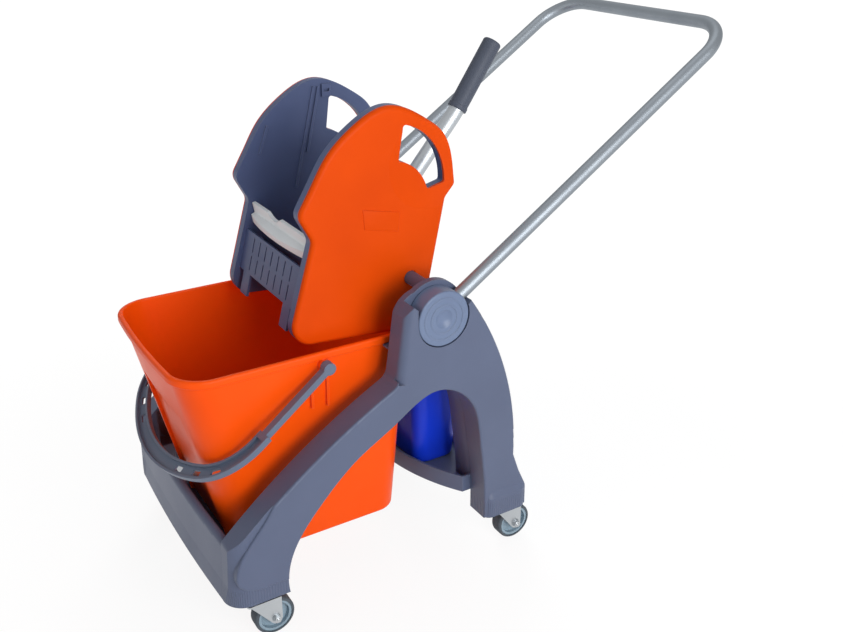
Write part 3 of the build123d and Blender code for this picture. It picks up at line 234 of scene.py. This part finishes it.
def foot_ridges(finish):
    """Upright ridges round the feet of the side frames, from -1 to 1, and 0 elsewhere."""
    x, y, z = (finish.node("ShaderNodeSeparateXYZ", inputs={0: finish.place}, output=axis) for axis in "XYZ")
    wave = finish.node("ShaderNodeMath", {"operation": "SINE"}, {0: (x + y) * (2 * pi / RIDGE_PITCH)})
    above = finish.ramp(z, RIDGE_TOP, RIDGE_TOP + RIDGE_FADE)
    outside = finish.ramp(x * x, RIDGE_SIDE**2, (RIDGE_SIDE + RIDGE_FADE) ** 2)
    return wave * (1 - above) * outside


print("ridges every", RIDGE_PITCH * 1000, "mm up to", RIDGE_TOP * 1000, "mm")

# %% [markdown]
# ## Moulded plastic
# The trolley is mostly polypropylene. Its skin is satin with a fine spark-eroded grain, colour that drifts
# a little from patch to patch, and faint scuffs where it has been handled. A mould never gives a knife
# edge, so the Bevel node rounds the light on every edge by a millimetre or so. Where that rounded normal
# leans away from the flat face there is an edge, and there the skin is painted a little paler: partly wear,
# partly a painted highlight that stands in for the light a rounded edge catches. One recipe makes every
# colour.

# %% Moulded plastic recipe
EDGE_RADIUS = 0.0015
# How much paler edges are painted: partly wear, partly a painted highlight along rounded edges.
EDGE_WEAR_AND_HIGHLIGHT_PALER = 0.16
EDGE_WEAR_AND_HIGHLIGHT_LEAN = (0.03, 0.2)
DRIFT_SIZE, DRIFT_SHARE = 0.11, 0.55
SPECKLE_COARSER, SPECKLE_SHARE = 1.6, 0.1
SCUFF_SIZE, SCUFF_ALONG = 0.05, (1.0, 0.25, 1.0)
SCUFF_RELIEF = 0.3
DULLER = 0.06


def moulded(name, body, shade, roughness=0.42, gloss=0.3, grain=0.0006, relief=0.00003, ridged=False):
    """Satin plastic whose body colour drifts towards a shade, with grain, scuffs, and edges painted paler as
    wear and painted highlight.
    """
    # Paler edge colour, painted for wear and as a painted highlight on rounded edges.
    rubbed_and_highlit = tuple(v + EDGE_WEAR_AND_HIGHLIGHT_PALER * (1 - v) for v in body[:3]) + (1.0,)
    finish = Finish(name)
    drift = finish.ramp(finish.noise(DRIFT_SIZE, 3.0), 0.3, 0.7)
    speckle = finish.noise(grain * SPECKLE_COARSER)
    scuffs = finish.ramp(finish.noise(SCUFF_SIZE, 6.0, 0.7, finish.stretch(SCUFF_ALONG)), 0.6, 0.75)
    rounded, lean = finish.soft_edge(EDGE_RADIUS)
    # Edge mask: where the skin is painted paler, as wear and as a painted highlight.
    wear_and_highlight = finish.ramp(lean, *EDGE_WEAR_AND_HIGHLIGHT_LEAN) * (0.35 + scuffs * 0.3)
    skin = finish.blend(drift * DRIFT_SHARE + speckle * SPECKLE_SHARE, body, shade)
    dull = roughness + drift * DULLER + scuffs * DULLER
    finish.set(base_color=finish.blend(wear_and_highlight, skin, rubbed_and_highlit), roughness=dull, specular_ior_level=gloss)
    height = finish.noise(grain) + scuffs * SCUFF_RELIEF
    if ridged:
        height = height + foot_ridges(finish) * (RIDGE_DEPTH / relief)
    finish.bump(height, relief, rounded)
    return finish.material


orange = moulded("orange_plastic", colour(252, 85, 6), colour(242, 76, 3), 0.34, 0.14)
orange_cover = moulded("orange_cover", colour(224, 75, 4), colour(208, 65, 2), 0.36, 0.07)
frame_grey = moulded("frame_grey", colour(88, 98, 124), colour(80, 89, 114), 0.4, 0.4, ridged=True)
disc_grey = moulded("disc_grey", colour(106, 122, 152), colour(97, 112, 142), 0.34, 0.45)
wringer_grey = moulded("wringer_grey", colour(78, 92, 132), colour(68, 81, 118), 0.42, 0.4)
bail_grey = moulded("bail_grey", colour(100, 112, 134), colour(88, 99, 120), 0.42, 0.4)
blue = moulded("blue_plastic", colour(20, 62, 226), colour(14, 50, 196), 0.34)
white = moulded("white_plastic", colour(244, 248, 250), colour(232, 238, 242), 0.45)
wheel_grey = moulded("wheel_grey", colour(142, 163, 177), colour(128, 148, 162), 0.42)
grip_grey = moulded("grip_grey", colour(80, 86, 100), colour(66, 72, 86), 0.5, grain=0.0009, relief=0.00006)
print("plastics:", len(bpy.data.materials))

# %% [markdown]
# ## Metal and rubber
# The push handle and the lever are drawn tube with a satin skin: faint streaks run along it and dull it
# unevenly. A coarse bump would sparkle, so the streaks go into colour and roughness and only a trace of
# them into the relief. The small turned steel pieces are brighter. The tyres are matt grey rubber with dust
# in their grain.

# %% Metal and rubber finishes
STREAK_SIZE, STREAK_RELIEF = 0.002, 0.0000005
CLOUD_SIZE = 0.06
DRAWN, TURNED = (0.2, 0.05, 0.05), (0.2, 1.0, 1.0)
RUBBER_GRAIN, RUBBER_RELIEF = 0.0008, 0.00008
DUST_SIZE = 0.012


def drawn_tube(name, body, shade, roughness, streak):
    """Satin metal with faint streaks, stretched along each axis as streak says."""
    finish = Finish(name)
    streaks = finish.noise(STREAK_SIZE, place=finish.stretch(streak))
    clouds = finish.ramp(finish.noise(CLOUD_SIZE, 4.0), 0.35, 0.7)
    tone = finish.blend(streaks * 0.3 + clouds * 0.35, body, shade)
    finish.set(base_color=tone, roughness=roughness + clouds * 0.05 + streaks * 0.04, metallic=1.0)
    finish.bump(streaks, STREAK_RELIEF)
    return finish.material


def rubber(name, body, dust):
    """Matt rubber with dust in its grain."""
    finish = Finish(name)
    grain = finish.noise(RUBBER_GRAIN, 3.0)
    dusty = finish.ramp(finish.noise(DUST_SIZE, 5.0, 0.7), 0.45, 0.75)
    finish.set(base_color=finish.blend(dusty * 0.5, body, dust), roughness=0.7 + grain * 0.2)
    finish.bump(grain, RUBBER_RELIEF)
    return finish.material


tube_metal = drawn_tube("satin_tube", colour(150, 157, 164), colour(138, 145, 153), 0.46, DRAWN)
lever_metal = drawn_tube("lever_tube", colour(190, 195, 199), colour(176, 181, 187), 0.42, DRAWN)
steel = drawn_tube("turned_steel", colour(190, 194, 197), colour(170, 175, 180), 0.32, TURNED)
tyre_rubber = rubber("tyre_rubber", colour(70, 78, 86), colour(96, 104, 111))
print("plastics, metals and rubber:", len(bpy.data.materials))

# %% [markdown]
# ## Dressing the frame
# Each node keeps its own mesh. It only gets a finish, chosen by the beginning of its name. Pins, rods,
# bolts and caster forks aren't in the list, and are turned steel.

# %% Give every node its finish
FINISHES = {
    "side_frame": frame_grey,
    "front_bumper": frame_grey,
    "rear_shelf": frame_grey,
    "hub_disc": disc_grey,
    "cross_axle": frame_grey,
    "bucket": orange,
    "small_bucket": blue,
    "wringer_cover": orange_cover,
    "wringer_plate": wringer_grey,
    "drain_wall": wringer_grey,
    "press_plate": wringer_grey,
    "press_lip": white,
    "crank_left": wringer_grey,
    "crank_right": wringer_grey,
    "link": wringer_grey,
    "axle_bush": frame_grey,
    "handle_tube": tube_metal,
    "lever_tube": lever_metal,
    "lever_grip": grip_grey,
    "bail": bail_grey,
    "wheel_core": wheel_grey,
    "wheel_tyre": tyre_rubber,
}
for name, node in nodes.items():
    found = [finish for start, finish in FINISHES.items() if name.startswith(start)]
    node.data.materials.clear()
    node.data.materials.append(found[0] if found else steel)
print("finishes given to", len(nodes), "nodes")

# %% [markdown]
# ## Modelling by hand, in code
# The next pieces are modelled as at the keyboard. A primitive is added at its place with nothing else
# selected, then faces, edges or corners are picked by where they are or which way they look, and an
# operator shapes them. A few small helpers do the adding, the picking, the moving of one corner, and what
# every piece needs at its end.

# %% Modelling helpers
SMOOTH_BELOW = radians(35)
ROUND_SEGMENTS = 3
SIDES = ((1, "right"), (-1, "left"))


def begin(adder, name, **settings):
    """Add a primitive with nothing else selected, with its place in its mesh."""
    bpy.ops.object.select_all(action="DESELECT")
    adder(**settings)
    made = bpy.context.object
    made.name = made.data.name = name
    bpy.ops.object.transform_apply(location=True, rotation=True, scale=True)
    return made


def pick(made, kind, test):
    """Enter edit mode with only the vertices, edges or faces selected that pass a test."""
    bpy.context.view_layer.objects.active = made
    bpy.ops.object.mode_set(mode="EDIT")
    bpy.ops.mesh.select_mode(type=kind)
    bpy.ops.mesh.select_all(action="DESELECT")
    bpy.ops.object.mode_set(mode="OBJECT")
    parts = {"VERT": made.data.vertices, "EDGE": made.data.edges, "FACE": made.data.polygons}[kind]
    for part in parts:
        part.select = bool(test(part))
    bpy.ops.object.mode_set(mode="EDIT")


def shift(made, index, goal):
    """Move one corner of a mesh to a place."""
    step = goal - made.data.vertices[index].co
    pick(made, "VERT", lambda part: part.index == index)
    bpy.ops.transform.translate(value=step)
    bpy.ops.object.mode_set(mode="OBJECT")


def face_outwards(made):
    """Turn every face of a closed mesh outwards, and stay in edit mode."""
    pick(made, "FACE", lambda part: True)
    bpy.ops.mesh.normals_make_consistent(inside=False)


def close(made, finish, body, bevel):
    """Leave edit mode, round the edges, shade, dress the piece and let it ride."""
    bpy.ops.object.mode_set(mode="OBJECT")
    rounding = made.modifiers.new("rounding", "BEVEL")
    rounding.width = bevel
    rounding.segments = ROUND_SEGMENTS
    rounding.limit_method = "ANGLE"
    bpy.ops.object.modifier_apply(modifier=rounding.name)
    bpy.ops.object.shade_smooth_by_angle(angle=SMOOTH_BELOW)
    made.data.materials.clear()
    made.data.materials.append(finish)
    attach(made, body)
    print("made", made.name, "with", len(made.data.polygons), "faces")


print("modelling helpers ready")

# %% [markdown]
# ## Raised pads on the wringer covers
# Each orange cover has a low four-sided pad, moulded in one with it. A bump in the material could draw it,
# but only a real step catches the light along its upper edge. A plane is laid on the cover, its corners are
# moved to the pad's own corners, it is extruded by a millimetre and its rim is bevelled.

# %% Raised pads
PAD_CORNERS = ((-0.1521, 0.5755), (-0.0931, 0.5630), (-0.0961, 0.5350), (-0.1496, 0.5460))
PAD_START = 0.05
PAD_HEIGHT = 0.0011
PAD_SINK = 0.0006
PAD_ROUND = 0.0008
BESIDE = 0.3


def on_cover(side, y, z):
    """Point on a cover's outer face, found by looking at the cover from outside."""
    cover = nodes["wringer_cover_right" if side > 0 else "wringer_cover_left"]
    return cover.ray_cast(Vector((side * BESIDE, y, z)), Vector((-side, 0, 0)))[1]


def bearing(place, middle):
    """Direction in which a place lies from a pad's middle, seen from the side."""
    return Vector((place.y - middle.y, place.z - middle.z)).normalized()


for side, word in SIDES:
    corners = [on_cover(side, y, z) for y, z in PAD_CORNERS]
    middle = sum(corners, Vector()) / len(corners)
    upright = (0, side * pi / 2, 0)
    adder = bpy.ops.mesh.primitive_plane_add
    pad = begin(adder, f"cover_pad_{word}", size=PAD_START, location=middle, rotation=upright)
    for index in range(len(pad.data.vertices)):
        toward = bearing(pad.data.vertices[index].co, middle)
        goal = min(corners, key=lambda corner: (bearing(corner, middle) - toward).length)
        shift(pad, index, goal - Vector((side * PAD_SINK, 0, 0)))
    pick(pad, "FACE", lambda part: True)
    outward = (side * (PAD_HEIGHT + PAD_SINK), 0, 0)
    bpy.ops.mesh.extrude_region_move(TRANSFORM_OT_translate={"value": outward})
    face_outwards(pad)
    close(pad, orange_cover, "frame", PAD_ROUND)

# %% [markdown]
# ## Inner walls of the rear legs
# Behind the arch, each rear leg has a thin wall that reaches inwards beside the small bucket and stands on
# the shelf. A bent plate would have to be trimmed to the leg afterwards. Here the arch is felt by looking
# at it from inside at even heights, the edge of a plane is extruded from each place to the next, and
# Solidify gives the wall its thickness.

# %% Inner walls
WALL_START = 0.02
WALL_FOOT = 0.109
WALL_STEP = 0.0125
WALL_STEPS = 17
WALL_ROOT = 0.180
WALL_REACH = 0.134
WALL_THICK = 0.003
WALL_SINK = 0.0006
WALL_ROUND = 0.0006
BEHIND_HUB = 0.005


def on_arch(side, z):
    """Point just under the arch's rear face, found by looking backwards from the middle of the arch."""
    near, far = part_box("hub_disc_right")
    eye = Vector((side * WALL_ROOT, (near[1] + far[1]) / 2 + BEHIND_HUB, z))
    leg = nodes["side_frame_right" if side > 0 else "side_frame_left"]
    return leg.ray_cast(eye, Vector((0, 1, 0)))[1] + Vector((0, WALL_SINK, 0))


def lowest(made, edge):
    """Height of the lower end of an edge."""
    return min(made.data.vertices[index].co.z for index in edge.vertices)


for side, word in SIDES:
    path = [on_arch(side, WALL_FOOT + WALL_STEP * step) for step in range(WALL_STEPS)]
    inward = Vector((side * (WALL_REACH - WALL_ROOT), 0, 0))
    wall = begin(bpy.ops.mesh.primitive_plane_add, f"leg_wall_{word}", size=WALL_START, location=path[0])
    for index, goal in enumerate((path[0], path[0] + inward, path[1], path[1] + inward)):
        shift(wall, index, goal)
    pick(wall, "EDGE", lambda part: lowest(wall, part) > WALL_FOOT + WALL_STEP / 2)
    for here, there in zip(path[1:], path[2:]):
        bpy.ops.mesh.extrude_region_move(TRANSFORM_OT_translate={"value": there - here})
    face_outwards(wall)
    bpy.ops.object.mode_set(mode="OBJECT")
    thickness = wall.modifiers.new("thickness", "SOLIDIFY")
    thickness.thickness = WALL_THICK
    thickness.offset = 1.0 if wall.data.polygons[0].normal.y > 0 else -1.0
    bpy.ops.object.modifier_apply(modifier=thickness.name)
    face_outwards(wall)
    close(wall, frame_grey, "frame", WALL_ROUND)

# %% [markdown]
# ## Nuts on the caster axles
# Every caster wheel turns on a bolt, and its hexagon head and lock nut are what one sees in the middle of
# the wheel. A six-sided cylinder gives the flats, and its top face, inset and raised a little, gives the
# chamfer. A round bolt end with its own chamfer is joined to it. One is modelled, and each copy gets its
# own mesh.

# %% One nut
NUT_SIDES = 6
NUT_R = 0.0056
NUT_HEIGHT = 0.0024
NUT_CHAMFER = 0.0008
NUT_ROUND = 0.00025
BOLT_SIDES = 18
BOLT_R = 0.0029
BOLT_END = 0.0012
CHAMFER_RISE = 0.6


def stud(name, sides, radius, height):
    """A prism that stands on the plane x = 0, with a chamfered far end."""
    place = {"location": (height / 2, 0, 0), "rotation": (0, pi / 2, 0)}
    size = {"vertices": sides, "radius": radius, "depth": height}
    made = begin(bpy.ops.mesh.primitive_cylinder_add, name, **size, **place)
    pick(made, "FACE", lambda part: part.normal.x > 0.9)
    bpy.ops.mesh.inset(thickness=NUT_CHAMFER)
    bpy.ops.transform.translate(value=(NUT_CHAMFER * CHAMFER_RISE, 0, 0))
    bpy.ops.object.mode_set(mode="OBJECT")
    return made


bolt = stud("caster_bolt", BOLT_SIDES, BOLT_R, NUT_HEIGHT + BOLT_END)
nut = stud("caster_nut", NUT_SIDES, NUT_R, NUT_HEIGHT)
bolt.select_set(True)
bpy.context.view_layer.objects.active = nut
bpy.ops.object.join()
face_outwards(nut)
bpy.ops.object.mode_set(mode="OBJECT")
print("nut and bolt end:", len(nut.data.polygons), "faces before rounding")

# %% [markdown]
# ## A nut on each end of each axle
# The copies go where the axles' own ends are, so they can't miss them. A copy is turned round for the left
# end, and its place and turn are applied, so that its object sits at the origin as every piece does.

# %% Nuts in their places
for corner in ("front_right", "front_left", "rear_right", "rear_left"):
    near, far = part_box(f"caster_axle_{corner}")
    for x, turn, word in ((far[0], 0, "right"), (near[0], pi, "left")):
        made = nut.copy()
        made.data = nut.data.copy()
        made.name = made.data.name = f"caster_nut_{corner}_{word}"
        bpy.context.scene.collection.objects.link(made)
        made.location = (x, (near[1] + far[1]) / 2, (near[2] + far[2]) / 2)
        made.rotation_euler = (0, 0, turn)
        bpy.ops.object.select_all(action="DESELECT")
        made.select_set(True)
        bpy.context.view_layer.objects.active = made
        bpy.ops.object.transform_apply(location=True, rotation=True, scale=True)
        close(made, steel, f"caster_{corner}", NUT_ROUND)
bpy.data.objects.remove(nut)

# %% [markdown]
# ## The floor
# A pale floor carries a soft shadow. For the camera and for reflections it is partly its own light, which
# keeps it pale without adding light to the trolley, and that share grows with the distance, so that no
# horizon shows.

# %% Floor
FLOOR_SIZE = 30.0
FLOOR_GREY = (0.86, 0.86, 0.86, 1.0)
FLOOR_GLOW = 0.84
FLOOR_WHITE = 1.05
FADE_START, FADE_END = 0.6, 2.2
WHITE = (1.0, 1.0, 1.0, 1.0)

bpy.ops.object.select_all(action="DESELECT")
bpy.ops.mesh.primitive_plane_add(size=FLOOR_SIZE)
floor = bpy.context.object
floor.name = "floor"
ground = Finish("pale_floor")
ground.set(base_color=FLOOR_GREY, roughness=0.9)
glow = ground.node("ShaderNodeEmission", inputs={"Color": WHITE, "Strength": FLOOR_WHITE})
seen = ground.node("ShaderNodeLightPath", output="Is Camera Ray")
mirrored = ground.node("ShaderNodeLightPath", output="Is Glossy Ray")
reach = ground.node("ShaderNodeVectorMath", {"operation": "LENGTH"}, {0: ground.place}, "Value")
fade = ground.ramp(reach, FADE_START, FADE_END)
share = (seen + mirrored) * (fade * (1 - FLOOR_GLOW) + FLOOR_GLOW)
matt = Wire(ground.tree, ground.surface.outputs[0])
mixer = ground.node("ShaderNodeMixShader", inputs={0: share, 1: matt, 2: glow})
plug(ground.tree, ground.tree.nodes["Material Output"].inputs["Surface"], mixer)
floor.data.materials.append(ground.material)
print("floor:", FLOOR_SIZE, "m, its own light from", FLOOR_GLOW, "to 1")

# %% [markdown]
# ## Sky and lamps
# The sky is white to the camera and gives an even, weak light. One large lamp to the right at bucket height
# leaves the inside of the bucket in shade, and weak ones at the front and on top soften it. A lamp on the
# far side lights the hidden faces. It is kept out of reflections, because at a grazing angle it would draw
# a bright line along the tubes.

# %% Sky and lamps
SKY_LIGHT = 0.3
SKY_MIRRORED = 0.5
MIDDLE = Vector((0.0, 0.0, 0.4))

world = bpy.data.worlds.new("studio")
bpy.context.scene.world = world
world.use_nodes = True
sky = Shader(world.node_tree)
shown = sky.node("ShaderNodeLightPath", output="Is Camera Ray")
reflected = sky.node("ShaderNodeLightPath", output="Is Glossy Ray")
background = sky.tree.nodes["Background"]
plug(sky.tree, background.inputs["Color"], WHITE)
strength = (shown + reflected * SKY_MIRRORED) * (1 - SKY_LIGHT) + SKY_LIGHT
plug(sky.tree, background.inputs["Strength"], strength)


def lamp(name, place, size, power, mirrored=True):
    """A square area lamp that faces the trolley, and may be kept out of reflections."""
    light = bpy.data.lights.new(name, "AREA")
    light.size = size
    light.energy = power
    made = bpy.data.objects.new(name, light)
    bpy.context.scene.collection.objects.link(made)
    made.location = place
    made.visible_glossy = mirrored
    made.rotation_euler = (Vector(place) - MIDDLE).to_track_quat("Z", "Y").to_euler()


lamp("key", (2.2, 0.0, 1.0), 1.4, 38)
lamp("front", (0.2, -2.4, 1.3), 1.6, 7)
lamp("top", (-0.3, 0.5, 2.8), 1.6, 7)
lamp("far side", (-2.2, 1.0, 1.3), 1.6, 42, mirrored=False)
print("sky and", len(bpy.data.lights), "lamps")

# %% [markdown]
# ## Last step
# The colours are shown as they are written.

# %% Finish
bpy.context.scene.view_settings.view_transform = "Standard"
